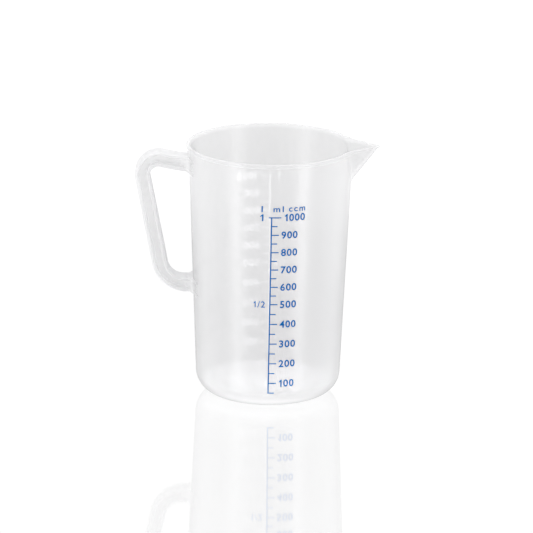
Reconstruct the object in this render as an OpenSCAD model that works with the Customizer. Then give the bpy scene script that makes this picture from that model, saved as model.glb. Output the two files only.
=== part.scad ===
// One-litre plastic measuring beaker: a tapered cup with a rolled rim, a pouring spout,
// a closed loop handle of I-section, a printed scale and a raised scale.
// Origin: on the cup's axis, in the plane of the foot. +Z up, spout towards +X,
// handle towards -X, printed scale on the -Y side, raised scale on the +Y side.
// The cup, spout, handle and raised scale are one moulding. Its regions are separate
// solids that meet face to face, so that each can be named, checked and finished.

/* [Cup] */
// Height from the foot to the top of the rim
cup_h = 172; // [168:1:180]
// Outer radius of the wall, if it ran down to the foot plane
wall_r_foot = 47.9; // [46:0.1:50]
// Outer radius of the wall at the height of the rim
wall_r_top = 55.2; // [53:0.1:57]
// Wall thickness at the foot plane
wall_t_foot = 2.2; // [1.8:0.1:2.6]
// Wall thickness at the rim
wall_t_top = 1.4; // [1.2:0.1:1.8]
// Radius of the rounded corner between wall and foot
heel_r = 15; // [12:0.5:18]
// Radius inside the cup between floor and wall
floor_fillet_r = 7; // [4:0.5:9]
// Height of the inner floor above the foot plane
floor_z = 4.4; // [3.6:0.2:6]
// Depth of the hollow under the floor
recess_d = 1.8; // [1:0.2:2.2]
// Width of the flat ring that the cup stands on
foot_w = 3; // [2:0.5:5]

/* [Rim] */
// Radius of the rolled edge
bead_r = 1.3; // [0.8:0.1:1.6]
// Outer radius of the rolled edge
bead_outer_r = 56.7; // [56.5:0.1:58]
// Height of the rim region
rim_h = 3.4; // [3.3:0.1:5]

/* [Spout] */
// Distance of the spout's tip from the cup's axis
spout_tip_x = 74.2; // [68:0.2:80]
// Height below the rim at which the spout's ridge leaves the wall
spout_drop = 26; // [20:1:34]
// Half the width of the spout where its edges meet the rim
spout_half_w = 19; // [14:0.5:22]
// Thickness of the spout's cheeks
spout_t = 1.6; // [1.2:0.1:2]

/* [Handle] */
// Thickness of the handle in its own plane
grip_t = 10.2; // [9:0.2:12]
// Width of the flanges across the handle
grip_w = 14; // [12:0.5:18]
// Thickness of a flange
flange_t = 2.4; // [2:0.1:3]
// Thickness of the web between the flanges
web_t = 2; // [1.5:0.1:3]
// Distance of the upper bend's centre from the cup's axis
corner_x = 74.8; // [72:0.2:78]
// Height of the upper bend's centre
corner_z = 150.6; // [148:0.2:152]
// Centre line radius of the upper bend
corner_r = 10.9; // [9:0.1:13]
// Lean of the grip from upright, in degrees
grip_lean = 11.4; // [8:0.2:14]
// Slope of the upper arm where it leaves the bend, in degrees
arm_slope = 13.5; // [10:0.5:16]
// Centre line radius of the upper arm's sweep into the wall
arm_sweep_r = 108; // [100:1:118]
// Height of the lower arm's centre line
low_arm_z = 74.8; // [72:0.2:80]
// Outer radius of the lower bend
low_bend_outer_r = 24.5; // [22:0.5:26]
// Inner radius of the lower bend
low_bend_inner_r = 10.7; // [9:0.1:13]
// Thickness of the pads that join the handle to the wall
root_t = 1.6; // [1:0.1:2.5]
// Half the length of the pads round the wall
root_half_w = 16; // [12:1:20]
// Height at which the upper arm meets the wall
up_arm_z = 158; // [156:0.2:160]

/* [Scale] */
// Height of the 500 ml mark
mark_500_z = 74.7; // [73:0.1:76]
// Rise for each 50 ml above 500 ml
step_high = 6.07; // [5.9:0.01:6.1]
// Rise for each 50 ml below 500 ml
step_low = 6.95; // [6.8:0.01:7]
// Thickness of the printed ink
ink_t = 0.2; // [0.1:0.05:0.3]
// Height of the raised marks
raised_t = 0.4; // [0.2:0.05:0.6]
// Width of the scale's line
line_w = 0.8; // [0.5:0.1:1]
// Thickness of a tick
tick_h = 0.7; // [0.5:0.1:1]
// Length of a tick at each 100 ml
major_l = 4.7; // [4:0.1:5]
// Length of a tick at each 50 ml
minor_l = 3.6; // [2.5:0.1:3.8]
// Height of a digit
digit_h = 5.1; // [4.5:0.1:5.4]
// Width of a digit
digit_w = 3.3; // [2.8:0.1:3.6]
// Thickness of a digit's stroke
stroke = 0.85; // [0.6:0.05:0.9]

/* [Hidden] */
$fn = 96;

plastic = [0.93, 0.94, 0.95];
ink = [0.08, 0.36, 0.62];

// Wall lines: the outer and inner radius at a height
outer_slope = (wall_r_top - wall_r_foot) / cup_h;
inner_r_foot = wall_r_foot - wall_t_foot;
inner_slope = (wall_r_top - wall_t_top - inner_r_foot) / cup_h;
function outer_r(z) = wall_r_foot + outer_slope * z;
function inner_r(z) = inner_r_foot + inner_slope * z;

// The corner arcs touch the wall lines, which fixes their centres
foot_r = outer_r(heel_r) - heel_r * sqrt(1 + outer_slope * outer_slope);
fillet_z = floor_z + floor_fillet_r;
fillet_x = inner_r(fillet_z) - floor_fillet_r * sqrt(1 + inner_slope * inner_slope);
recess_r = foot_r - foot_w;
rim_z = cup_h - rim_h;

// Rest of the spout: its ridge runs from the wall to the tip
ridge_z = cup_h - spout_drop;
ridge_x = outer_r(ridge_z);
ridge_run = (spout_tip_x - ridge_x) / spout_drop;
junction_x = sqrt(pow(wall_r_top + bead_r, 2) - pow(spout_half_w, 2));
cheek_spread = spout_half_w / (spout_tip_x - junction_x);
cheek_normal_x = 1 / sqrt(1 + 1 / pow(cheek_spread, 2) + pow(ridge_run, 2));

// Handle: distances outward from its centre line
half_t = grip_t / 2;
web_half = half_t - flange_t;
low_bend_mean = (low_bend_outer_r + low_bend_inner_r) / 2;
low_bend_gain = (low_bend_outer_r - low_bend_inner_r) / grip_t;
arm_end_slope = 2;
arc_steps = 16;
far = 100;

// Lettering: gaps and places along the wall, measured from the scale's line
digit_pitch = 3.9;
numeral_at = 6.7;
thousand_at = 8.1;
top_tick = [-1.9, 6.5];
litre_one_at = -8;
litre_half_at = -10.8;
litre_h = 4.4;
litre_stroke = 0.6;
units_rise = 4;
unit_h = 4;
x_height = 3;
unit_stroke = 0.7;

function mark_z(ml) = mark_500_z + (ml - 500) / 50 * (ml > 500 ? step_high : step_low);
function arc(c, r, from, to) =
    [for (i = [0 : arc_steps]) let (a = from + (to - from) * i / arc_steps)
        [c[0] + r * cos(a), c[1] + r * sin(a)]];
function backwards(list) = [for (i = [len(list) - 1 : -1 : 0]) list[i]];

// ---- Cup ----

// Everything inside the cup's outer surface, as a profile from the axis outward, grown outward
module cup_outer_profile(grow = 0) {
    touch_z = heel_r - (heel_r + grow) * sin(atan(outer_slope));
    side_grow = grow * sqrt(1 + outer_slope * outer_slope);
    translate([foot_r, heel_r]) circle(heel_r + grow);
    square([foot_r, heel_r]);
    polygon([
        [0, touch_z], [outer_r(touch_z) + side_grow, touch_z],
        [outer_r(cup_h) + side_grow, cup_h], [0, cup_h]
    ]);
}

module rim_profile() {
    bead_z = cup_h - bead_r;
    inner_x = inner_r(rim_z) + bead_r;
    translate([bead_outer_r - bead_r, bead_z]) circle(bead_r);
    translate([inner_x, bead_z]) circle(bead_r);
    translate([inner_x, bead_z]) square([bead_outer_r - bead_r - inner_x, bead_r]);
    polygon([
        [inner_r(rim_z), rim_z], [outer_r(rim_z), rim_z],
        [outer_r(bead_z), bead_z], [inner_r(rim_z), bead_z]
    ]);
}

module cavity_profile() {
    top = cup_h + 5;
    touch_z = fillet_z - floor_fillet_r * sin(atan(inner_slope));
    translate([fillet_x, fillet_z]) circle(floor_fillet_r);
    translate([0, floor_z]) square([fillet_x, floor_fillet_r]);
    polygon([[0, touch_z], [inner_r(touch_z), touch_z], [inner_r(top), top], [0, top]]);
}

module layer(from, to) {
    translate([-far, -far, from]) cube([2 * far, 2 * far, to - from]);
}

module cup_outer(grow = 0) {
    rotate_extrude() cup_outer_profile(grow);
}

module cavity() {
    rotate_extrude() cavity_profile();
}

// Everything behind a cheek's plane, on the +Y side if side is 1 or the -Y side if it is -1
module behind_cheek(side, set_back) {
    translate([ridge_x - set_back, 0, ridge_z])
        rotate([0, asin(ridge_run * cheek_normal_x), side * atan2(1, cheek_spread)])
            translate([-far, -far, -far]) cube([far, 2 * far, 2 * far]);
}

// A wedge whose sharp edge leans outward: the spout's outside, or its inside if set back
module spout_wedge(set_back, top) {
    low = ridge_z - 8;
    back_x = 40;
    intersection() {
        behind_cheek(1, set_back);
        behind_cheek(-1, set_back);
        translate([back_x, -far, low]) cube([far, 2 * far, top - low]);
    }
}

module spout_inside() {
    spout_wedge(spout_t / cheek_normal_x, cup_h + 5);
}

module base_floor() {
    color(plastic)
        translate([0, 0, recess_d]) cylinder(r = recess_r, h = floor_z - recess_d);
}

module foot_ring() {
    color(plastic) difference() {
        cylinder(r = foot_r, h = recess_d);
        translate([0, 0, -1]) cylinder(r = recess_r, h = recess_d + 2);
    }
}

module heel_ring() {
    color(plastic) difference() {
        intersection() {
            cup_outer();
            layer(0, heel_r);
        }
        cavity();
        translate([0, 0, -1]) cylinder(r = foot_r, h = recess_d + 1);
        translate([0, 0, -1]) cylinder(r = recess_r, h = floor_z + 2);
    }
}

module vessel_wall() {
    color(plastic) difference() {
        intersection() {
            cup_outer();
            layer(heel_r, rim_z);
        }
        cavity();
        spout_inside();
    }
}

module rim_bead() {
    color(plastic) difference() {
        rotate_extrude() rim_profile();
        spout_wedge(0, cup_h + 5);
    }
}

// The cheeks stand on the wall's outer face and pass through the rim to the cavity
module spout() {
    color(plastic) difference() {
        spout_wedge(0, cup_h);
        spout_inside();
        cavity();
        intersection() {
            cup_outer();
            layer(0, rim_z);
        }
    }
}

// ---- Handle ----

// One edge line of the handle, from the upper arm round to the lower arm,
// at a distance outward from the centre line
function handle_edge(out) =
    let (
        corner = [-corner_x, corner_z],
        turn = 90 - arm_slope,
        sweep = corner + (corner_r + arm_sweep_r) * [cos(turn), sin(turn)],
        side = 180 + grip_lean,
        leave = corner + corner_r * [cos(side), sin(side)],
        bend_r = low_bend_mean + low_bend_gain * out,
        bend_z = low_arm_z - out + bend_r,
        bend_x = leave[0] + (bend_r - out - (bend_z - leave[1]) * sin(grip_lean)) / cos(grip_lean)
    )
    concat(
        arc(sweep, arm_sweep_r - out, 270 - arm_end_slope, 270 - arm_slope),
        arc(corner, corner_r + out, turn, side),
        arc([bend_x, bend_z], bend_r, side, 270),
        [[-wall_r_foot, low_arm_z - out]]
    );

module handle_band(outside, inside, width) {
    color(plastic) difference() {
        rotate([90, 0, 0])
            linear_extrude(height = width, center = true)
                polygon(concat(handle_edge(outside), backwards(handle_edge(inside))));
        cup_outer(root_t);
    }
}

module handle_outer_flange() {
    handle_band(half_t, web_half, grip_w);
}

module handle_inner_flange() {
    handle_band(-web_half, -half_t, grip_w);
}

module handle_web() {
    handle_band(web_half, -web_half, web_t);
}

// A pad with round ends, wrapped on the wall, that spreads the handle's load
module handle_root(z) {
    end_r = half_t + 0.7;
    reach = root_half_w - end_r;
    color(plastic) intersection() {
        difference() {
            cup_outer(root_t);
            cup_outer();
        }
        rotate([0, 0, 180]) rotate([90, 0, 90]) translate([0, z, 0]) linear_extrude(height = far) {
            translate([-reach, 0]) circle(end_r);
            translate([reach, 0]) circle(end_r);
            translate([-reach, -end_r]) square([2 * reach, 2 * end_r]);
        }
    }
}

module handle_root_upper() {
    handle_root(up_arm_z);
}

module handle_root_lower() {
    handle_root(low_arm_z);
}

// ---- Lettering: flat shapes with their lower left corner at the origin ----

module dash(from, to, w) {
    span = to - from;
    translate(from) rotate([0, 0, atan2(span[1], span[0])])
        translate([0, -w / 2]) square([norm(span), w]);
}

module hoop(c, r, w) {
    translate(c) difference() {
        circle(r);
        circle(r - w);
    }
}

module digit(n, w, h, s) {
    r = w / 2;
    low = [r, r];
    high = [r, h - r];
    mid = s / 2;
    if (n == 0) difference() {
        union() {
            translate(low) circle(r);
            translate(high) circle(r);
            translate([0, r]) square([w, h - w]);
        }
        translate(low) circle(r - s);
        translate(high) circle(r - s);
        translate([s, r]) square([w - 2 * s, h - w]);
    }
    if (n == 1) {
        translate([r - mid, 0]) square([s, h]);
        dash([r - 1.1, h - 1.3], [r, h - mid], s * 0.8);
    }
    if (n == 2) {
        difference() {
            hoop(high, r, s);
            translate([0, h - w]) square([r, r]);
        }
        dash([mid, mid], [w - s, h - r - mid], s);
        square([w, s]);
    }
    if (n == 3 || n == 5) difference() {
        hoop([r, r], r, s);
        translate([0, r]) square([r, r]);
    }
    if (n == 3) difference() {
        hoop([r, h - r + 0.2], r - 0.2, s);
        translate([0, h - w]) square([r, r]);
    }
    if (n == 4) {
        translate([w - s - 0.4, 0]) square([s, h]);
        translate([0, h / 4]) square([w, s]);
        dash([mid, h / 4 + mid], [w - s, h - mid], s * 0.9);
    }
    if (n == 5) {
        translate([0.2, h - s]) square([w - 0.4, s]);
        translate([0.2, w - s]) square([s, h - w + s]);
        translate([0.2, w - s]) square([r - 0.2, s]);
    }
    if (n == 6 || n == 8) hoop(low, r, s);
    if (n == 9 || n == 8) hoop(high, r, s);
    if (n == 6) dash([mid + 0.1, r], [r + 0.4, h], s);
    if (n == 9) dash([r - 0.4, 0], [w - mid - 0.1, h - r], s);
    if (n == 7) {
        translate([0, h - s]) square([w, s]);
        dash([r - 0.6, 0], [w - mid, h - mid], s);
    }
}

// The digits of a number, as a list
function digits_of(n) = n < 10 ? [n] : concat(digits_of(floor(n / 10)), [n % 10]);

// Wraps a flat shape on the wall: its origin goes to a distance along the wall and a height
module on_wall(along, z, thick) {
    intersection() {
        difference() {
            cup_outer(thick);
            cup_outer();
        }
        rotate([0, 0, along / outer_r(z) * 180 / PI])
            rotate([90, 0, 0]) linear_extrude(height = far) translate([0, z]) children();
    }
}

module number_on_wall(n, along, z, w, h, s, pitch, thick) {
    list = digits_of(n);
    for (i = [0 : len(list) - 1])
        on_wall(along + (i + 0.5) * pitch, z - h / 2, thick) translate([-w / 2, 0]) digit(list[i], w, h, s);
}

module scale_line(thick) {
    low = mark_z(50) - tick_h / 2;
    high = mark_z(1000) - tick_h / 2;
    on_wall(0, low, thick) translate([-line_w / 2, 0]) square([line_w, high - low]);
}

module scale_ticks(thick) {
    for (ml = [50 : 50 : 950])
        on_wall(0, mark_z(ml) - tick_h / 2, thick)
            translate([line_w / 2, 0]) square([ml % 100 == 0 ? major_l : minor_l, tick_h]);
    on_wall(0, mark_z(1000) - tick_h / 2, thick)
        translate([top_tick[0], 0]) square([top_tick[1] - top_tick[0], tick_h]);
}

module scale_numerals(thick) {
    for (ml = [100 : 100 : 1000])
        number_on_wall(ml, ml == 1000 ? thousand_at : numeral_at, mark_z(ml),
            digit_w, digit_h, stroke, digit_pitch, thick);
}

module litre_numerals(thick) {
    small_w = 2.4;
    number_on_wall(1, litre_one_at, mark_z(1000), small_w, litre_h, stroke, 3, thick);
    number_on_wall(1, litre_half_at, mark_z(500), small_w, litre_h, litre_stroke, 2.4, thick);
    on_wall(litre_half_at + 3.9, mark_z(500) - litre_h / 2, thick)
        dash([-0.8, 0], [0.8, litre_h], litre_stroke);
    number_on_wall(2, litre_half_at + 5.2, mark_z(500), small_w, litre_h, litre_stroke, 2.6, thick);
}

module letter_l() {
    translate([-unit_stroke / 2, 0]) square([unit_stroke, unit_h]);
}

module letter_m() {
    post = 1.5;
    for (i = [-1 : 1]) translate([i * post - unit_stroke / 2, 0]) square([unit_stroke, x_height]);
    translate([-post, x_height - unit_stroke]) square([2 * post, unit_stroke]);
}

module letter_c() {
    difference() {
        hoop([0, x_height / 2], x_height / 2, unit_stroke);
        translate([0.5, x_height / 2 - 0.6]) square([2, 1.2]);
    }
}

// ---- Printed scale ----

module printed_line() {
    color(ink) scale_line(ink_t);
}

module printed_ticks() {
    color(ink) scale_ticks(ink_t);
}

module printed_numerals() {
    color(ink) scale_numerals(ink_t);
}

module printed_litre_numerals() {
    color(ink) litre_numerals(ink_t);
}

module printed_units() {
    z = mark_z(1000) + units_rise;
    color(ink) {
        on_wall(-6.5, z, ink_t) letter_l();
        on_wall(3.2, z, ink_t) letter_m();
        on_wall(7, z, ink_t) letter_l();
        on_wall(13, z, ink_t) letter_c();
        on_wall(16.6, z, ink_t) letter_c();
        on_wall(21, z, ink_t) letter_m();
    }
}

// ---- Raised scale: the same layout on the far side ----

module raised_line() {
    color(plastic) rotate([0, 0, 180]) scale_line(raised_t);
}

module raised_ticks() {
    color(plastic) rotate([0, 0, 180]) scale_ticks(raised_t);
}

module raised_numerals() {
    color(plastic) rotate([0, 0, 180]) scale_numerals(raised_t);
}

module raised_litre_numerals() {
    color(plastic) rotate([0, 0, 180]) litre_numerals(raised_t);
}

base_floor();
foot_ring();
heel_ring();
vessel_wall();
rim_bead();
spout();
handle_outer_flange();
handle_inner_flange();
handle_web();
handle_root_upper();
handle_root_lower();
printed_line();
printed_ticks();
printed_numerals();
printed_litre_numerals();
printed_units();
raised_line();
raised_ticks();
raised_numerals();
raised_litre_numerals();
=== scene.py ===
"""Looks of the one-litre measuring beaker: one milky polypropylene moulding with a cup, a pouring
spout and a loop handle, a blue printed scale in front, a raised scale behind, and a pale studio."""

import math

import bmesh
import bpy
from mathutils import Matrix, Vector


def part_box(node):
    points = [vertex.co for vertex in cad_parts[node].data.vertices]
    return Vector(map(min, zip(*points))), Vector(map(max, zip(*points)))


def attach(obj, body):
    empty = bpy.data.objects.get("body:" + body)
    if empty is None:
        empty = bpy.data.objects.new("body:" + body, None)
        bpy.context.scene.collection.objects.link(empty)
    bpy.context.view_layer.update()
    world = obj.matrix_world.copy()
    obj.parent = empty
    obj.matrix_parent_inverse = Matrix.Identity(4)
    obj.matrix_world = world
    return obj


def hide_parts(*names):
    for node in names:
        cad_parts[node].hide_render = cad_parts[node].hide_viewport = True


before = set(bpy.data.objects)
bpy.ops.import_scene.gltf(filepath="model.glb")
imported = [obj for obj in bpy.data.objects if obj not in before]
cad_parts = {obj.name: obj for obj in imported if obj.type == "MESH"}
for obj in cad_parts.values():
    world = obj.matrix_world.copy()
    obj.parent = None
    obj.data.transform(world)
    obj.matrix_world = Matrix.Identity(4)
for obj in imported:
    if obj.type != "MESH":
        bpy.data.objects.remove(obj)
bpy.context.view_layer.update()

MM = 0.001


def box_mm(node):
    """A CAD node's lowest and highest corner, in millimetres."""
    low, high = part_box(node)
    return low / MM, high / MM


# ---- Sizes in millimetres: from the CAD boxes where a box gives them ----

CUP_TOP = box_mm("rim_bead")[1].z
BEAD_OUT = box_mm("rim_bead")[1].y
TIP_X = box_mm("spout")[1].x
RIDGE_Z = box_mm("spout")[0].z
FOOT_R = box_mm("foot_ring")[1].x
GRIP_HALF = box_mm("handle_outer_flange")[1].y
FLOOR_TOP = box_mm("base_floor")[1].z
RECESS = box_mm("base_floor")[0].z
RECESS_R = box_mm("base_floor")[1].x

WALL_FOOT = 47.9            # outer radius of the wall, if it ran down to the foot plane
WALL_TOP = 55.2             # and at the rim
WALL_T_FOOT = 2.2           # wall thickness at the foot plane
WALL_T_TOP = 1.4            # and at the rim
HEEL_R = 15
FLOOR_FILLET = 7
BEAD_R = 1.3
LIP_R = 0.75                # the rolled edge thins out along the spout
SPOUT_HALF = 19
SPOUT_T = 1.6
SPOUT_BLEND = 3.2           # how far the cheeks run softly into the wall
RIDGE_SOFT = 0.013          # rounds the spout's ridge

OUT_SLOPE = (WALL_TOP - WALL_FOOT) / CUP_TOP
IN_FOOT = WALL_FOOT - WALL_T_FOOT
IN_SLOPE = (WALL_TOP - WALL_T_TOP - IN_FOOT) / CUP_TOP
FILLET_Z = FLOOR_TOP + FLOOR_FILLET
FILLET_X = IN_FOOT + IN_SLOPE * FILLET_Z - FLOOR_FILLET * math.sqrt(1 + IN_SLOPE ** 2)

RIDGE_X = WALL_FOOT + OUT_SLOPE * RIDGE_Z
RIDGE_RUN = (TIP_X - RIDGE_X) / (CUP_TOP - RIDGE_Z)
JUNCTION_X = math.sqrt((WALL_TOP + BEAD_R) ** 2 - SPOUT_HALF ** 2)
CHEEK_SPREAD = SPOUT_HALF / (TIP_X - JUNCTION_X)
CHEEK_SET_BACK = SPOUT_T * math.sqrt(1 + 1 / CHEEK_SPREAD ** 2 + RIDGE_RUN ** 2)

GRIP_T = 10.2
FLANGE_T = 2.4
WEB_T = 2.0
CORNER = (-74.8, 150.6)
CORNER_R = 10.9
GRIP_LEAN = math.radians(11.4)
ARM_SLOPE = math.radians(13.5)
ARM_SWEEP_R = 108
LOW_ARM_Z = 74.8
BEND_MEAN = 17.6
BEND_GAIN = 13.8 / GRIP_T
ROOT_CLEAR = 6.4            # distance from the wall at which a root starts: its recess gets shallower
FLARE_CLEAR = 4.2           # and at which it starts to flare
ROOT_HALF = 20              # half the length of a flared root round the wall

MARK_500 = 74.7
STEP_HIGH = 6.07
STEP_LOW = 6.95
LINE_W = 0.8
TICK_H = 0.7
MAJOR_L = 4.7
MINOR_L = 3.6
DIGIT_H = 5.1
DIGIT_PITCH = 3.9
NUMERAL_AT = 6.7
THOUSAND_AT = 8.3
INK_T = 0.06
RAISED_T = 0.35
MARK_SUNK = -0.05           # the scales start just inside the wall's skin

TABLE_R = 7000
TABLE_Z = -0.02             # just under the foot, so that the two don't flicker

# ---- How milky the plastic is, from 0 for clear to 1 ----

RIM_MILK = 0.31
UNDERSIDE_MILK = 0.35
FOOT_MILK = 0.6
FLOOR_MILK = 0.9
SPOUT_RIDGE_MILK = 0.6
WEB_MILK = 0.44
FLANGE_MILK = 0.84

# ---- Camera: angles in degrees, distance and aim in metres ----

LENS, SENSOR = 405.25, 36
VIEW_RISE = 16.1
VIEW_ROLL = 0.78
VIEW_DISTANCE = 4.04
VIEW_AIM = (-0.00176, 0, 0.08638)


def mark_z(ml):
    return MARK_500 + (ml - 500) / 50 * (STEP_HIGH if ml > 500 else STEP_LOW)


def print_shift(z):
    """The printed scale sits a little round towards the spout, and leans a little."""
    return 0.3 + 0.007 * z


# ---- Small helpers for shapes ----

def mix(a, b, t):
    return a + (b - a) * t


def smooth_step(low, high, x):
    t = min(1.0, max(0.0, (x - low) / (high - low)))
    return t * t * (3 - 2 * t)


def soft_max(a, b, blend):
    h = min(1.0, max(0.0, 0.5 + 0.5 * (a - b) / blend))
    return mix(b, a, h) + blend * h * (1 - h) * 0.5


def spread(low, high, steps):
    return [low + (high - low) * i / steps for i in range(steps + 1)]


def make_piece(name, points, faces, surface=None, smooth=True):
    """A mesh piece from points in millimetres, with its faces turned outward. surface gives two
    numbers a point: how milky the plastic is there, and 1 on an outer skin or 0 inside the cup;
    the plastic's finish turns this into painted shade inside the cup and painted light in the
    handle's recess."""
    mesh = bpy.data.meshes.new(name)
    mesh.from_pydata([Vector(p) * MM for p in points], [], faces)
    for place, key in enumerate(("milk", "skin_and_shade") if surface else ()):
        values = mesh.attributes.new(key, "FLOAT", "POINT").data
        values.foreach_set("value", [n[place] for n in surface])
    work = bmesh.new()
    work.from_mesh(mesh)
    bmesh.ops.remove_doubles(work, verts=work.verts, dist=1e-7)
    bmesh.ops.recalc_face_normals(work, faces=work.faces)
    for face in work.faces:
        face.smooth = smooth
    work.to_mesh(mesh)
    work.free()
    piece = bpy.data.objects.new(name, mesh)
    bpy.context.scene.collection.objects.link(piece)
    return piece


def finish_piece(piece, finish, slot, *nodes):
    piece.data.materials.clear()
    piece.data.materials.append(finish)
    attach(piece, "root")
    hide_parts(*nodes)
    return piece


# ---- Node maths ----

class Value:
    """A shader socket that takes part in Python arithmetic."""

    def __init__(self, finish, socket):
        self.finish, self.socket = finish, socket

    def _math(self, operation, *values):
        return self.finish.node("ShaderNodeMath", {"operation": operation},
                                {i: v for i, v in enumerate(values)})

    def __add__(self, other):
        return self._math("ADD", self, other)

    def __sub__(self, other):
        return self._math("SUBTRACT", self, other)

    def __rsub__(self, other):
        return self._math("SUBTRACT", other, self)

    def __mul__(self, other):
        return self._math("MULTIPLY", self, other)

    def __pow__(self, other):
        return self._math("POWER", self, other)

    def __rpow__(self, other):
        return self._math("POWER", other, self)

    __radd__ = __add__
    __rmul__ = __mul__

    def clamped(self, low=0.0, high=1.0):
        return self.finish.node("ShaderNodeClamp", {}, {"Value": self, "Min": low, "Max": high})

    def between(self, low, high, to_low=0.0, to_high=1.0):
        return self.finish.node("ShaderNodeMapRange", {"interpolation_type": "SMOOTHSTEP"},
                                {"Value": self, "From Min": low, "From Max": high,
                                 "To Min": to_low, "To Max": to_high})


class Finish:
    """A node tree of a material or a world, with one method that adds any node."""

    def __init__(self, owner):
        owner.use_nodes = True
        self.owner, self.tree = owner, owner.node_tree
        self.tree.nodes.clear()

    def node(self, kind, settings=None, values=None, out=0):
        made = self.tree.nodes.new(kind)
        for key, setting in (settings or {}).items():
            setattr(made, key, setting)
        for key, value in (values or {}).items():
            if isinstance(value, Value):
                self.tree.links.new(value.socket, made.inputs[key])
            else:
                made.inputs[key].default_value = value
        return Value(self, made.outputs[out]) if len(made.outputs) else made

    def blend_colour(self, amount, first, second):
        return self.node("ShaderNodeMix", {"data_type": "RGBA"},
                         {"Factor": amount, 6: first, 7: second}, out=2)

    def place(self, scale=(1, 1, 1)):
        where = self.node("ShaderNodeTexCoord", out=3)
        return self.node("ShaderNodeMapping", {}, {"Vector": where, "Scale": scale})

    def noise(self, where, scale, detail=2.0, roughness=0.5):
        return self.node("ShaderNodeTexNoise", {}, {"Vector": where, "Scale": scale,
                                                    "Detail": detail, "Roughness": roughness})

    def output(self, surface):
        kind = "World" if isinstance(self.owner, bpy.types.World) else "Material"
        self.node("ShaderNodeOutput" + kind, {}, {"Surface": surface})
        return self.owner


# ---- Finishes ----

def milky_polypropylene(name, outer, inner, painted_edge_shade, clear_tint, edge, through, deepen, gloss):
    """Translucent plastic: a clear share that shows what is behind, and a milky share. The milky
    share grows where the surface turns away from the eye, by edge, and there, most of all low on the
    cup, its colour is painted darker, a painted shade; this moves with the view. The inner and outer
    colours are painted shade and light: the cup's inside is painted darker than its outside, the
    handle's recess lighter than its flanges. through is the part of the milky share that passes light
    on from the far side, and deepen is how much painted shade greys the plastic towards the foot."""
    f = Finish(bpy.data.materials.new(name))
    milk = f.node("ShaderNodeAttribute", {"attribute_name": "milk"}, out=2)
    skin_and_shade = f.node("ShaderNodeAttribute", {"attribute_name": "skin_and_shade"}, out=2)
    away = f.node("ShaderNodeLayerWeight", {}, {"Blend": 0.5}, out=1)
    clouds = f.noise(f.place((1, 1, 0.4)), 38, 2.0, 0.5)
    flow = f.noise(f.place((1, 1, 0.06)), 160, 2.0, 0.5)
    grain = f.noise(f.place(), 2600, 2.0, 0.6)
    # Painted shade and light: the skin mark picks the inner or outer colour, so the cup's inside is
    # painted darker and the handle's recess painted lighter.
    shade = f.blend_colour(skin_and_shade, inner, outer)
    shade = f.blend_colour(clouds.between(0.3, 0.7) * 0.08 + flow.between(0.35, 0.75) * 0.04,
                           shade, (0.93, 0.933, 0.94, 1))
    height = f.node("ShaderNodeSeparateXYZ", {}, {"Vector": f.place()}, out=2)
    low_down = height.between(0.095, 0.155, 1.0, 0.4)
    # Painted shade: the colour greys from about 1.4 to 3.5 cm up, stays full to 5 cm, then fades out by 14
    # cm, for the shade low in the cup.
    deep = height.between(0.014, 0.035) * height.between(0.05, 0.14, 1.0, 0.0) * deepen
    shade = f.blend_colour(deep, shade, (0.3, 0.3, 0.308, 1))
    # Painted shade: towards the silhouette, most of all below about 10 to 15 cm, the colour is blended to
    # a dark grey; this moves with the view.
    shade = f.blend_colour(away.between(0.45, 1.0) * (low_down * edge), shade, painted_edge_shade)
    rough = (clouds.between(0.3, 0.75) * 0.04 + grain * 0.04 + gloss).clamped(0.05, 0.7)
    relief = f.node("ShaderNodeBump", {}, {"Strength": 0.03, "Distance": 0.0003,
                                           "Height": clouds * 0.6 + grain * 0.1})
    body = f.node("ShaderNodeBsdfPrincipled", {}, {
        "Base Color": shade, "Roughness": rough, "Normal": relief, "Specular IOR Level": 0})
    passed_on = f.node("ShaderNodeBsdfTranslucent", {}, {"Color": shade, "Normal": relief})
    solid = f.node("ShaderNodeMixShader", {}, {"Fac": through, 1: body, 2: passed_on}) if through else body
    clear = f.node("ShaderNodeBsdfTransparent", {}, {"Color": clear_tint})
    turned = (1 - milk) * (away ** 3.0) * (skin_and_shade * edge)
    opacity = (milk + turned + (clouds - 0.5) * 0.015).clamped(0.02, 0.98)
    plastic = f.node("ShaderNodeMixShader", {}, {"Fac": opacity, 1: clear, 2: solid})
    shine = f.node("ShaderNodeBsdfGlossy", {}, {
        "Color": (1, 1, 1, 1), "Roughness": rough, "Normal": relief})
    return f.output(f.node("ShaderNodeMixShader", {}, {"Fac": 0.095 - skin_and_shade * 0.075, 1: plastic, 2: shine}))


def raised_mark():
    """The moulded scale behind: the same plastic. A small painted glow makes it paler than the wall,
    in place of the light that its raised edges catch.
    """
    f = Finish(bpy.data.materials.new("raised_polypropylene"))
    clouds = f.noise(f.place(), 300, 2.0, 0.5)
    pale = f.blend_colour(clouds, (0.88, 0.885, 0.89, 1), (0.95, 0.95, 0.955, 1))
    # Painted glow: the emission makes the raised marks paler than the wall, standing in for the light
    # their edges catch.
    painted_light = f.node("ShaderNodeBsdfPrincipled", {}, {"Base Color": pale, "Roughness": clouds * 0.1 + 0.25,
                 "Specular IOR Level": 0.1, "Emission Color": pale, "Emission Strength": 1.35})
    clear = f.node("ShaderNodeBsdfTransparent", {}, {"Color": (1, 1, 1, 1)})
    opacity = (clouds * 0.06 + 0.29).clamped(0.02, 0.9)
    return f.output(f.node("ShaderNodeMixShader", {}, {"Fac": opacity, 1: clear, 2: painted_light}))


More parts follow.
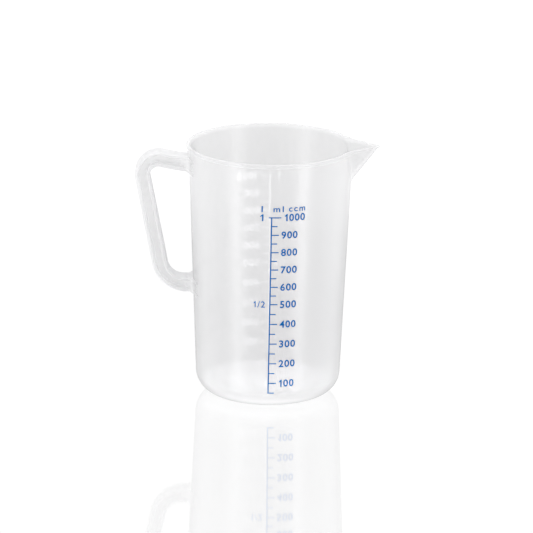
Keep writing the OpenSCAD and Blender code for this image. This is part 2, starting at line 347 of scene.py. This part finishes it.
def printed_ink():
    """Screen-printed blue, a little thinner and paler on the rounded heel."""
    f = Finish(bpy.data.materials.new("blue_print"))
    where = f.place()
    height = f.node("ShaderNodeSeparateXYZ", {}, {"Vector": where}, out=2)
    blots = f.noise(where, 900, 3.0, 0.6)
    mesh_marks = f.noise(where, 3600, 1.0, 0.5)
    worn = height.between(0.003, 0.03, 0.55, 0.0)
    blue = f.blend_colour(blots.between(0.35, 0.7), (0.0, 0.098, 0.335, 1), (0.001, 0.125, 0.40, 1))
    blue = f.blend_colour((worn + mesh_marks.between(0.62, 0.8) * 0.12).clamped(),
                          blue, (0.08, 0.28, 0.60, 1))
    film = f.node("ShaderNodeBump", {}, {"Strength": 0.12, "Distance": 0.00008,
                                         "Height": blots * 0.6 + mesh_marks * 0.4})
    paint = f.node("ShaderNodeBsdfPrincipled", {}, {
        "Base Color": blue, "Roughness": blots.between(0.2, 0.8, 0.4, 0.55), "Normal": film,
        "Specular IOR Level": 0.2})
    return f.output(paint)


def studio_floor():
    """A pale table that glows by itself, with a painted soft shade round the object: its glow is
    painted dimmer near the object and brighter away from it, with a faint mirror that also shows the
    tall softboxes in views from behind."""
    f = Finish(bpy.data.materials.new("pale_table"))
    where = f.place((1, 1, 0))
    far_away = f.node("ShaderNodeVectorMath", {"operation": "LENGTH"}, {0: where}, out=1)
    # Painted shade round the object: the glow is 0.70 within 0.34 m of the middle and rises to 0.80 by
    # 0.62 m.
    painted_light = far_away.between(0.34, 0.62, 0.70, 0.80)
    glow = f.node("ShaderNodeEmission", {}, {"Color": (1, 1, 1, 1), "Strength": painted_light})
    mirror = f.node("ShaderNodeBsdfGlossy", {}, {"Color": (0.3, 0.3, 0.3, 1), "Roughness": 0.04})
    return f.output(f.node("ShaderNodeAddShader", {}, {0: glow, 1: mirror}))


# ---- Cup ----

def wedge_radius(turn, z, set_back):
    """How far out the spout's wedge reaches at an angle from the spout and a height."""
    if abs(turn) > math.radians(60):
        return 0.0
    reach = RIDGE_X + RIDGE_RUN * (z - RIDGE_Z) - set_back
    across = math.sqrt(math.sin(turn) ** 2 + RIDGE_SOFT ** 2)
    return CHEEK_SPREAD * reach / (across + CHEEK_SPREAD * math.cos(turn))


def outside(turn, z):
    wall = WALL_FOOT + OUT_SLOPE * z
    return soft_max(wall, wedge_radius(turn, z, 0), SPOUT_BLEND)


def inside(turn, z):
    wall = IN_FOOT + IN_SLOPE * z
    return soft_max(wall, wedge_radius(turn, z, CHEEK_SET_BACK), SPOUT_BLEND)


def heel_radius(z):
    """Outer radius at a height, round the heel and up the wall."""
    touch = HEEL_R * (1 - math.sin(math.atan(OUT_SLOPE)))
    if z >= touch:
        return WALL_FOOT + OUT_SLOPE * z
    return FOOT_R + math.sqrt(max(0.0, HEEL_R ** 2 - (HEEL_R - z) ** 2))


def cup_turns():
    """Angles round the cup from the spout, closest together at the spout's ridge."""
    near = [0.2, 0.45, 0.75, 1.1, 1.5, 2.0, 2.6, 3.3]
    near += [4.1 + 0.8 * i for i in range(30)]
    rest = near[-1]
    side = near + spread(rest, 180, 104)[1:-1]
    return [math.radians(a) for a in [0] + side + [180] + [-a for a in reversed(side)]]


def wall_milk(z):
    """The wall gets thicker, and so milkier, towards the foot."""
    return mix(0.31, 0.285, z / CUP_TOP)


def cup_line(turn):
    """One line from the middle of the underside, round the foot, wall and rim, to the middle of
    the floor: distance from the axis, height, milkiness and skin. The skin picks the outer or inner
    colour, which is painted shade; the bead and the spout's ridge take painted in-between shades."""
    line = [(r, RECESS, UNDERSIDE_MILK, 1) for r in (8, 16, 23, RECESS_R - 1.6, RECESS_R - 0.6)]
    line += [(r, z, FOOT_MILK, 1) for r, z in (
        (RECESS_R - 0.1, RECESS - 0.15), (RECESS_R, RECESS - 0.6), (RECESS_R, 0.35),
        (RECESS_R + 0.1, 0.1), (RECESS_R + 0.35, 0), (FOOT_R - 1, 0))]
    lean = math.atan(OUT_SLOPE)
    for a in spread(-math.pi / 2, -lean, 22):
        z = HEEL_R + HEEL_R * math.sin(a)
        line.append((FOOT_R + HEEL_R * math.cos(a), z,
                     mix(0.5, wall_milk(z), smooth_step(5, HEEL_R, z)), 1))
    lip = smooth_step(math.radians(13), math.radians(23), abs(turn))
    bead = mix(LIP_R, BEAD_R, lip)
    stand_out = mix(0.25, BEAD_OUT - WALL_TOP, lip)
    low = CUP_TOP - 2 * bead
    lining = 0.25 * (1 - smooth_step(math.radians(11), math.radians(22), abs(turn)))
    ridge = 1 - smooth_step(math.radians(1.2), math.radians(2.8), abs(turn))
    heights = spread(17, 134, 22) + spread(136, CUP_TOP - 6, 28) + spread(CUP_TOP - 5.2, low - 0.5, 4)
    for z in heights:
        solid = ridge * smooth_step(RIDGE_Z - 1, RIDGE_Z + 3, z)
        line.append((outside(turn, z), z, mix(wall_milk(z), SPOUT_RIDGE_MILK, solid), mix(1, 0.5, solid)))
    centre = outside(turn, CUP_TOP) + stand_out - bead
    for a in spread(-math.pi / 2, 0, 8):
        z = CUP_TOP - bead + bead * math.sin(a)
        line.append((max(outside(turn, z), centre + bead * math.cos(a)), z,
                     mix(RIM_MILK, 0.55, ridge), mix(0.85, 0.5, ridge)))
    for a in spread(0, math.pi / 2, 8)[1:]:
        line.append((centre + bead * math.cos(a), CUP_TOP - bead + bead * math.sin(a),
                     mix(RIM_MILK, 0.45, ridge), 0.72))
    edge = inside(turn, CUP_TOP) + bead
    line.append((mix(centre, edge, 0.5), CUP_TOP, RIM_MILK, 0.72))
    for a in spread(math.pi / 2, math.pi, 8):
        line.append((edge + bead * math.cos(a), CUP_TOP - bead + bead * math.sin(a), RIM_MILK, 0.5))
    line += [(inside(turn, z), z, wall_milk(z) + lining * smooth_step(RIDGE_Z, CUP_TOP - 8, z), 0)
             for z in reversed(heights) if z < CUP_TOP - bead]
    for a in spread(-math.atan(IN_SLOPE), -math.pi / 2, 14):
        line.append((FILLET_X + FLOOR_FILLET * math.cos(a), FILLET_Z + FLOOR_FILLET * math.sin(a),
                     mix(wall_milk(0), FLOOR_MILK, math.sin(-a)), math.sin(-a)))
    line += [(r, FLOOR_TOP, FLOOR_MILK, 1) for r in (34, 26, 18, 9)]
    return line


def cup_moulding(finish):
    turns = cup_turns()
    lines = [cup_line(t) for t in turns]
    rows = min(len(line) for line in lines)
    points, surface, faces = [], [], []
    for turn, line in zip(turns, lines):
        for r, z, milk, skin_and_shade in line[:rows]:
            points.append((r * math.cos(turn), r * math.sin(turn), z))
            surface.append((milk, skin_and_shade))
    under, floor = len(points), len(points) + 1
    points += [(0, 0, RECESS), (0, 0, FLOOR_TOP)]
    surface += [(UNDERSIDE_MILK, 1), (FLOOR_MILK, 1)]
    for j in range(len(turns)):
        a, b = j * rows, (j + 1) % len(turns) * rows
        faces += [(a + i, b + i, b + i + 1, a + i + 1) for i in range(rows - 1)]
        faces += [(under, b, a), (floor, a + rows - 1, b + rows - 1)]
    piece = make_piece("cup_moulding", points, faces, surface)
    return finish_piece(piece, finish, "polypropylene",
                        "base_floor", "foot_ring", "heel_ring", "vessel_wall", "rim_bead", "spout")


# ---- Handle ----

def arc(centre, radius, start, stop, steps):
    return [(centre[0] + radius * math.cos(a), centre[1] + radius * math.sin(a))
            for a in spread(start, stop, steps)]


SWEEP = (CORNER[0] + (CORNER_R + ARM_SWEEP_R) * math.sin(ARM_SLOPE),
         CORNER[1] + (CORNER_R + ARM_SWEEP_R) * math.cos(ARM_SLOPE))


def upper_arm_z(x):
    return SWEEP[1] - math.sqrt(ARM_SWEEP_R ** 2 - (x - SWEEP[0]) ** 2)


def lower_bend(out):
    """Centre and radius of the lower bend at a distance outward from the handle's centre line."""
    side = math.pi + GRIP_LEAN
    leave = (CORNER[0] + CORNER_R * math.cos(side), CORNER[1] + CORNER_R * math.sin(side))
    bend = BEND_MEAN + BEND_GAIN * out
    z = LOW_ARM_Z - out + bend
    return leave[0] + (bend - out - (z - leave[1]) * math.sin(GRIP_LEAN)) / math.cos(GRIP_LEAN), z, bend


def lower_arm_z(x, out):
    """Height of the lower arm at a distance outward, on its bend or on the straight part after it."""
    bend_x, bend_z, bend = lower_bend(out)
    return LOW_ARM_Z - out if x >= bend_x else bend_z - math.sqrt(bend ** 2 - (x - bend_x) ** 2)


def grip_line(out):
    """The handle's line at a distance outward from its centre line, clear of the wall at both ends."""
    start_x = -(WALL_FOOT + OUT_SLOPE * upper_arm_z(-60) + ROOT_CLEAR + 1.2)
    start = 1.5 * math.pi - math.asin((SWEEP[0] - start_x) / ARM_SWEEP_R)
    side = math.pi + GRIP_LEAN
    bend_x, bend_z, bend = lower_bend(out)
    end_x = -(WALL_FOOT + OUT_SLOPE * LOW_ARM_Z + ROOT_CLEAR + 1.2)
    if bend_x < end_x - 0.2:
        last = arc((bend_x, bend_z), bend, side, 1.5 * math.pi, 28)
        last += [(mix(bend_x, end_x, t), LOW_ARM_Z - out) for t in (0.5, 1)]
    else:
        turned_back = math.asin(max(0.0, bend_x - end_x) / bend)
        last = arc((bend_x, bend_z), bend, side, 1.5 * math.pi - turned_back, 30)
    return (arc(SWEEP, ARM_SWEEP_R - out, start, 1.5 * math.pi - ARM_SLOPE, 14)
            + arc(CORNER, CORNER_R + out, math.pi / 2 - ARM_SLOPE, side, 28) + last)


def grip_section():
    """Half of the handle's I-section, from the web's middle over the outer flange to the other side:
    distance across, distance outward, milkiness, skin (0 in the recess, 1 on the flanges). The skin
    sets painted light: the recess is painted lighter than the flanges, in steps over the fillet."""
    half, neck, web = GRIP_T / 2, GRIP_T / 2 - FLANGE_T, WEB_T / 2
    fillet, under, over, crown = 0.8, 0.95, 1.35, 0.12
    side = [(web, 0, WEB_MILK, 0), (web, neck - fillet - 0.3, WEB_MILK, 0)]
    side += [(web + fillet - fillet * math.cos(a), neck - fillet + fillet * math.sin(a), 0.5, 0.1)
             for a in spread(0, math.pi / 2, 4)]
    side += [(mix(web + fillet, GRIP_HALF - under, 0.5), neck, 0.7, 0.3)]
    side += [(GRIP_HALF - under + under * math.sin(a), neck + under - under * math.cos(a), FLANGE_MILK, 1)
             for a in spread(0, math.pi / 2, 5)]
    side += [(GRIP_HALF - over + over * math.cos(a), half - crown - over + over * math.sin(a),
              FLANGE_MILK, 1)
             for a in spread(0.05, math.pi / 2, 6)]
    side += [(mix(GRIP_HALF - over, 0, t), half - crown * (1 - t) ** 2, FLANGE_MILK, 1)
             for t in (0.3, 0.6, 0.85)]
    return side + [(0, half, FLANGE_MILK, 1)] + [(-y, out, *look) for y, out, *look in reversed(side)]


def root_ring(loop, upper, clear, block):
    """A ring of the flared root at a distance from the wall, bent round the cup. block fills the
    recess beside the web, from 0 to 1."""
    grow = max(0.0, 1 - max(0.0, clear) / FLARE_CLEAR) ** 3
    ring = []
    for y, out, cloud, skin_and_shade in loop:
        in_recess = abs(out) < GRIP_T / 2 - FLANGE_T + 0.1
        full = math.copysign(max(abs(y), GRIP_HALF - 0.9), y) if in_recess else y
        across = mix(y, full, block) * mix(1, ROOT_HALF / GRIP_HALF, grow)
        swell = out * 0.16 * grow
        z = upper_arm_z(-56) + out if upper else LOW_ARM_Z - out
        for _ in range(2):
            shell = heel_radius(z) + clear
            x = -math.sqrt(shell ** 2 - across ** 2)
            z = upper_arm_z(x) + out + swell if upper else lower_arm_z(x, out) - swell
        ring.append(((x, across, z), (mix(max(cloud, 0.45 * block), 0.1, grow), skin_and_shade)))
    return ring


def handle_moulding(finish):
    half_loop = grip_section()
    loop = half_loop + [(y, -out, *look) for y, out, *look in reversed(half_loop[1:-1])]
    count = len(loop)
    lines = [grip_line(point[1]) for point in loop]
    rings = [[((lines[j][i][0], loop[j][0], lines[j][i][1]), loop[j][2:]) for j in range(count)]
             for i in range(len(lines[0]))]
    clears = [(c, smooth_step(6.2, 1.6, c)) for c in (
        ROOT_CLEAR, 5.9, 5.4, 4.9, 4.4, 3.9, 3.4, 2.9, 2.4, 2.0, 1.5, 1.1, 0.75, 0.45, 0.2, -0.1, -0.5)]
    upper = [root_ring(loop, True, c, b) for c, b in clears]
    lower = [root_ring(loop, False, c, b) for c, b in clears]
    rings = list(reversed(upper)) + rings + lower
    points = [p for ring in rings for p, _ in ring]
    surface = [look for ring in rings for _, look in ring]
    faces = []
    for i in range(len(rings) - 1):
        for j in range(count):
            k = (j + 1) % count
            faces.append((i * count + j, i * count + k, (i + 1) * count + k, (i + 1) * count + j))
    for base in (0, (len(rings) - 1) * count):
        middle = count // 2
        faces.append((base, base + 1, base + count - 1))
        faces += [(base + j, base + j + 1, base + count - j - 1, base + count - j)
                  for j in range(1, middle - 1)]
        faces.append((base + middle - 1, base + middle, base + middle + 1))
    piece = make_piece("handle_moulding", points, faces, surface)
    return finish_piece(piece, finish, "polypropylene", "handle_outer_flange", "handle_inner_flange",
                        "handle_web", "handle_root_upper", "handle_root_lower")


# ---- Scales ----

def on_wall(along, z, proud, behind):
    """A point of the scale: a distance along the wall, a height, and how far proud of the wall."""
    if not behind:
        along += print_shift(z)
    turn = along / (WALL_FOOT + OUT_SLOPE * z) + (math.pi / 2 if behind else -math.pi / 2)
    r = heel_radius(z) + proud
    return (r * math.cos(turn), r * math.sin(turn), z)


def bar(low, high, behind, thick):
    """A thin bar on the wall, from (along, z) to (along, z), closed on all sides."""
    rows = max(2, int((high[1] - low[1]) / 1.2))
    columns = max(2, int((high[0] - low[0]) / 0.8))
    points, faces = [], []
    for proud in (MARK_SUNK, thick):
        for z in spread(low[1], high[1], rows):
            for along in spread(low[0], high[0], columns):
                points.append(on_wall(along, z, proud, behind))
    wide = columns + 1
    layer = wide * (rows + 1)
    for i in range(rows):
        for j in range(columns):
            a = i * wide + j
            faces.append((a, a + wide, a + wide + 1, a + 1))
            faces.append((a + layer, a + layer + 1, a + layer + wide + 1, a + layer + wide))
    rim = ([(0, j) for j in range(columns)] + [(i, columns) for i in range(rows)]
           + [(rows, j) for j in range(columns, 0, -1)] + [(i, 0) for i in range(rows, 0, -1)])
    for (i, j), (m, n) in zip(rim, rim[1:] + rim[:1]):
        a, b = i * wide + j, m * wide + n
        faces.append((a, b, b + layer, a + layer))
    return points, faces


def lettering(text, start, middle_z, width, height, weight, behind, thick, gap=1.12):
    """A word or number in the plain built-in face, sized to a width and height and bent on the wall."""
    curve = bpy.data.curves.new("lettering", "FONT")
    curve.body = text
    curve.size, curve.offset, curve.extrude, curve.space_character = 1.0, weight, 0.5, gap
    curve.resolution_u = 4
    flat = bpy.data.objects.new("lettering", curve)
    bpy.context.scene.collection.objects.link(flat)
    bpy.context.view_layer.update()
    mesh = bpy.data.meshes.new_from_object(flat.evaluated_get(bpy.context.evaluated_depsgraph_get()))
    xs, ys = [v.co.x for v in mesh.vertices], [v.co.y for v in mesh.vertices]
    left, low = min(xs), min(ys)
    stretch_x, stretch_y = width / (max(xs) - left), height / (max(ys) - low)
    points = []
    for v in mesh.vertices:
        proud = thick if v.co.z > 0 else MARK_SUNK
        points.append(on_wall(start + (v.co.x - left) * stretch_x,
                              middle_z - height / 2 + (v.co.y - low) * stretch_y, proud, behind))
    faces = [tuple(p.vertices) for p in mesh.polygons]
    bpy.data.objects.remove(flat)
    bpy.data.curves.remove(curve)
    bpy.data.meshes.remove(mesh)
    return points, faces


def gathered(parts):
    points, faces = [], []
    for more_points, more_faces in parts:
        base = len(points)
        points += more_points
        faces += [tuple(base + i for i in face) for face in more_faces]
    return points, faces


def scale_piece(name, parts, finish, slot, node):
    points, faces = gathered(parts)
    piece = make_piece(name, points, faces, smooth=False)
    return finish_piece(piece, finish, slot, node)


def figure_one(start, middle_z, width, height, stroke, behind, thick):
    """A one with a slanted flag, as one closed outline."""
    flat = [(width - stroke, 0), (width, 0), (width, height), (width - stroke * 0.7, height),
            (0, height * 0.74), (0, height * 0.58), (width - stroke, height * 0.74)]
    points = [on_wall(start + x, middle_z - height / 2 + y, proud, behind)
              for proud in (MARK_SUNK, thick) for x, y in flat]
    n = len(flat)
    faces = [tuple(range(n)), tuple(range(2 * n - 1, n - 1, -1))]
    faces += [(i, i + n, (i + 1) % n + n, (i + 1) % n) for i in range(n)]
    return points, faces


def numeral(ml, start, behind, thick):
    """A number beside its mark: its one, if it has one, then the rest in the built-in face."""
    text, z = str(ml), mark_z(ml)
    if text[0] != "1":
        return [lettering(text, start, z, len(text) * DIGIT_PITCH - 0.6, DIGIT_H, 0.022,
                          behind, thick)]
    rest = text[1:]
    return [figure_one(start + 0.5, z, 1.9, DIGIT_H, 0.95, behind, thick),
            lettering(rest, start + DIGIT_PITCH - 0.5, z, len(rest) * DIGIT_PITCH - 0.6, DIGIT_H, 0.022,
                      behind, thick)]


def build_scale(prefix, node_prefix, finish, slot, behind, thick):
    def piece(name, parts):
        scale_piece(f"{prefix}_{name}", parts, finish, slot, f"{node_prefix}_{name}")

    low, high = mark_z(50) - TICK_H / 2, mark_z(1000) - TICK_H / 2
    piece("line", [bar((-LINE_W / 2, low), (LINE_W / 2, high), behind, thick)])
    ticks = [bar((LINE_W / 2, mark_z(ml) - TICK_H / 2),
                 (LINE_W / 2 + (MAJOR_L if ml % 100 == 0 else MINOR_L), mark_z(ml) + TICK_H / 2),
                 behind, thick) for ml in range(50, 1000, 50)]
    ticks.append(bar((-1.9, mark_z(1000) - TICK_H / 2), (6.5, mark_z(1000) + TICK_H / 2), behind, thick))
    piece("ticks", ticks)
    numbers = []
    for ml in range(100, 1001, 100):
        start = THOUSAND_AT if ml == 1000 else NUMERAL_AT
        numbers += numeral(ml, start, behind, thick)
    piece("numerals", numbers)
    piece("litre_numerals", [
        figure_one(-7.6, mark_z(1000), 2.1, 4.7, 0.95, behind, thick),
        figure_one(-10.8, mark_z(500), 1.3, 4.4, 0.6, behind, thick),
        lettering("/2", -8.4, mark_z(500), 5.2, 4.4, 0.006, behind, thick)])


def print_units(finish):
    z = mark_z(1000) + 4
    scale_piece("print_units", [
        lettering("l", -6.9, z + 2, 0.95, 4.2, 0.012, False, INK_T),
        lettering("ml", 1.1, z + 2, 6.9, 4, 0.018, False, INK_T, 1.35),
        lettering("ccm", 11.4, z + 1.5, 11.5, 2.9, 0.018, False, INK_T, 1.3)],
        finish, "blue_ink", "printed_units")


# ---- Studio ----

def table_top():
    ring = [(TABLE_R * math.cos(a), TABLE_R * math.sin(a), TABLE_Z)
            for a in spread(0, 2 * math.pi, 96)[:-1]]
    floor = make_piece("table_top", ring, [tuple(range(len(ring)))])
    floor.data.materials.append(studio_floor())
    floor.visible_glossy = floor.visible_shadow = False
    return floor


def softbox(name, azimuth, elevation, distance, size, power, mirrored=True, spread=180):
    """A soft rectangular light at an azimuth from the camera's side, facing the object."""
    light = bpy.data.lights.new(name, "AREA")
    light.shape, light.size, light.size_y, light.energy = "RECTANGLE", size[0], size[1], power
    light.spread = math.radians(spread)
    a, e = math.radians(azimuth), math.radians(elevation)
    way = Vector((math.sin(a) * math.cos(e), -math.cos(a) * math.cos(e), math.sin(e)))
    lamp = bpy.data.objects.new(name, light)
    lamp.location = Vector((0, 0, 0.09)) + way * distance
    lamp.rotation_mode = "QUATERNION"
    lamp.rotation_quaternion = (-way).to_track_quat("-Z", "Y")
    lamp.visible_camera = False
    lamp.visible_glossy = mirrored
    bpy.context.scene.collection.objects.link(lamp)
    return lamp


def studio_light():
    """A white room, dimmer on the camera's side and of its own strength for what is seen directly
    and in mirrors, two tall softboxes and soft fill lights."""
    world = bpy.data.worlds.new("studio")
    bpy.context.scene.world = world
    f = Finish(world)
    seen = f.node("ShaderNodeLightPath", out=0)
    shiny = f.node("ShaderNodeLightPath", out=3)
    way = f.node("ShaderNodeTexCoord", out=0)
    behind = f.node("ShaderNodeSeparateXYZ", {}, {"Vector": way}, out=1).between(-0.7, 0.2)
    strength = behind * 0.25 + 0.42 + seen * 0.35 + shiny * (behind * 0.57 - 0.19)
    f.output(f.node("ShaderNodeBackground", {}, {"Color": (1, 1, 1, 1), "Strength": strength}))
    softbox("softbox_left", -51, 0, 1.6, (0.32, 2.4), 11)
    softbox("softbox_right", 50, 0, 1.6, (0.32, 2.4), 11)
    softbox("fill_left", -85, -18, 1.6, (1.0, 1.8), 6, False)
    softbox("fill_right", 98, 5, 1.6, (1.0, 1.8), 4, False)
    softbox("fill_above", 0, 80, 1.5, (1.2, 1.2), 15, False)
    softbox("fill_below", 0, -75, 1.0, (1.2, 1.2), 5, False)
    softbox("fill_inside", 0, 89.9, 1.0, (0.03, 0.03), 0.01, False, 7)
    softbox("fill_behind", 180, 15, 1.8, (1.4, 1.4), 10, False)


def camera():
    """A long lens at about 16 degrees above the horizon, level but for a slight turn."""
    lens = bpy.data.cameras.new("camera")
    lens.lens, lens.sensor_width = LENS, SENSOR
    lens.clip_start, lens.clip_end = 0.1, 60
    eye = bpy.data.objects.new("camera", lens)
    bpy.context.scene.collection.objects.link(eye)
    bpy.context.scene.camera = eye
    height = math.radians(VIEW_RISE)
    way = Vector((0, -math.cos(height), math.sin(height)))
    eye.rotation_mode = "QUATERNION"
    eye.location = Vector(VIEW_AIM) + way * VIEW_DISTANCE
    eye.rotation_quaternion = ((-way).to_track_quat("-Z", "Y").to_matrix()
                               @ Matrix.Rotation(math.radians(VIEW_ROLL), 3, "Z")).to_quaternion()


def show_settings():
    scene = bpy.context.scene
    scene.view_settings.view_transform = "Standard"
    scene.cycles.transparent_max_bounces = 32


def build():
    show_settings()
    camera()
    studio_light()
    table_top()
    # The inner colour is painted shade: the cup's inside is painted darker than its outside.
    outer, inner, dim = (0.915, 0.913, 0.921, 1), (0.52, 0.52, 0.526, 1), (0.43, 0.43, 0.435, 1)
    # dim is painted shade: the grey that the lower silhouettes are painted towards.
    wall = milky_polypropylene("milky_polypropylene", outer, inner, dim, (0.966, 0.966, 0.967, 1),
                               edge=0.8, through=0, deepen=0.12, gloss=0.3)
    # The handle's inner colour is painted light: the recess between the flanges is painted lighter than
    # the flanges, against the shade they cast into it.
    thick = milky_polypropylene("milky_polypropylene_thick", (0.85, 0.849, 0.854, 1),
                                (0.95, 0.95, 0.955, 1), dim, (0.95, 0.95, 0.951, 1),
                                edge=0.2, through=0.48, deepen=0, gloss=0.3)
    ink = printed_ink()
    cup_moulding(wall)
    handle_moulding(thick)
    build_scale("print", "printed", ink, "blue_ink", False, INK_T)
    print_units(ink)
    build_scale("back", "raised", raised_mark(), "polypropylene", True, RAISED_T)


build()
